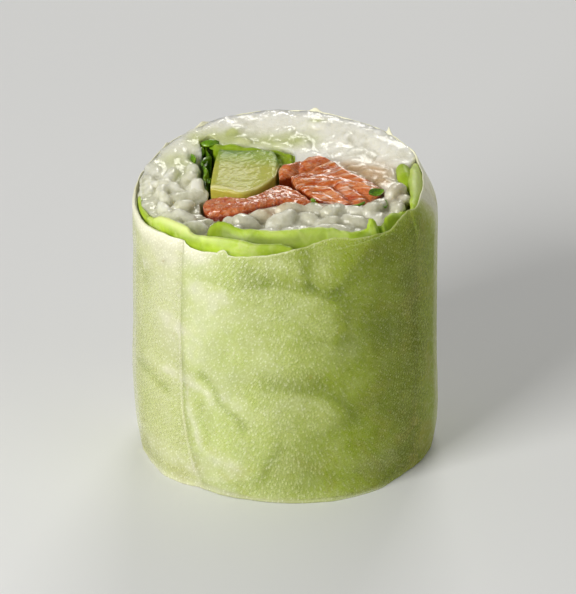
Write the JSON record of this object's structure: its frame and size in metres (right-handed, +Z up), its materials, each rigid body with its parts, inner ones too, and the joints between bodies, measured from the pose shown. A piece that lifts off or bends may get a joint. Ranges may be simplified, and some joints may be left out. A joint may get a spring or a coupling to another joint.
{
  "type": "sliced rice paper roll",
  "caption": "Upright slice of a fresh roll: a see-through rice paper skin round lettuce, sushi rice and a filling of salmon, avocado and herbs, cut flat at both ends.",
  "frame": {"origin": "middle of the footprint on the ground plane, with the slice standing on its lower cut face", "axes": "+Z up along the roll, -Y towards the front where the lettuce folds show, +X to the right of that front"},
  "size_m": [0.0433, 0.0429, 0.0417],
  "materials": {
    "rice_paper": "soft satin, see-through, with fine pale specks",
    "lettuce": "moist satin",
    "dark_leaf": "moist satin",
    "herb": "glossy",
    "rice": "moist, slightly see-through grains",
    "avocado": "smooth, faintly moist",
    "salmon": "wet"
  },
  "bodies": {
    "root": {"rice_paper": "rice_paper", "lettuce_outer": "lettuce", "lettuce_inner": "lettuce", "lettuce_side": "lettuce", "lettuce_back": "dark_leaf", "herb_sprig": "herb", "rice": "rice", "avocado": "avocado", "salmon_strip": "salmon", "salmon_chunk": "salmon", "salmon_fold": "salmon"}
  },
  "joints": []
}
